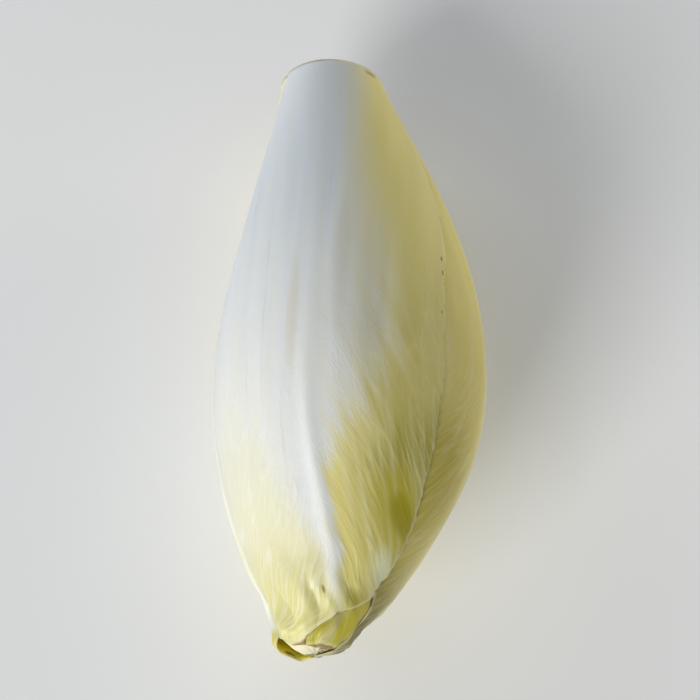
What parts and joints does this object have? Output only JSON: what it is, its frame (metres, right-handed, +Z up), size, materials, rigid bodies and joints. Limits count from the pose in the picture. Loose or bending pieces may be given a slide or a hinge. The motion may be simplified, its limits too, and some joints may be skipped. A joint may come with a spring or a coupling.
{
  "type": "belgian endive",
  "caption": "Head of Belgian endive lying on its side: pale leaves wrapped in a spiral round a short cut stem, yellow at their tips.",
  "frame": {"origin": "on the surface that the head lies on, under the middle of the head's box", "axes": "+Z up, +Y along the head towards its cut butt, -Y towards the leaf tips"},
  "size_m": [0.061, 0.15, 0.0594],
  "materials": {
    "outer_leaf": "satin",
    "inner_leaf": "satin",
    "heart_leaf": "satin",
    "stem": "matte"
  },
  "bodies": {
    "root": {"outer_leaf_1": "outer_leaf", "outer_leaf_2": "outer_leaf", "outer_leaf_3": "outer_leaf", "inner_leaf_1": "inner_leaf", "inner_leaf_2": "inner_leaf", "inner_leaf_3": "inner_leaf", "inner_leaf_4": "inner_leaf", "inner_leaf_5": "inner_leaf", "inner_leaf_6": "inner_leaf", "inner_leaf_7": "inner_leaf", "heart_leaf_1": "heart_leaf", "heart_leaf_2": "heart_leaf", "heart_leaf_3": "heart_leaf", "heart_leaf_4": "heart_leaf", "heart_leaf_5": "heart_leaf", "heart_leaf_6": "heart_leaf", "stem": "stem"}
  },
  "joints": []
}
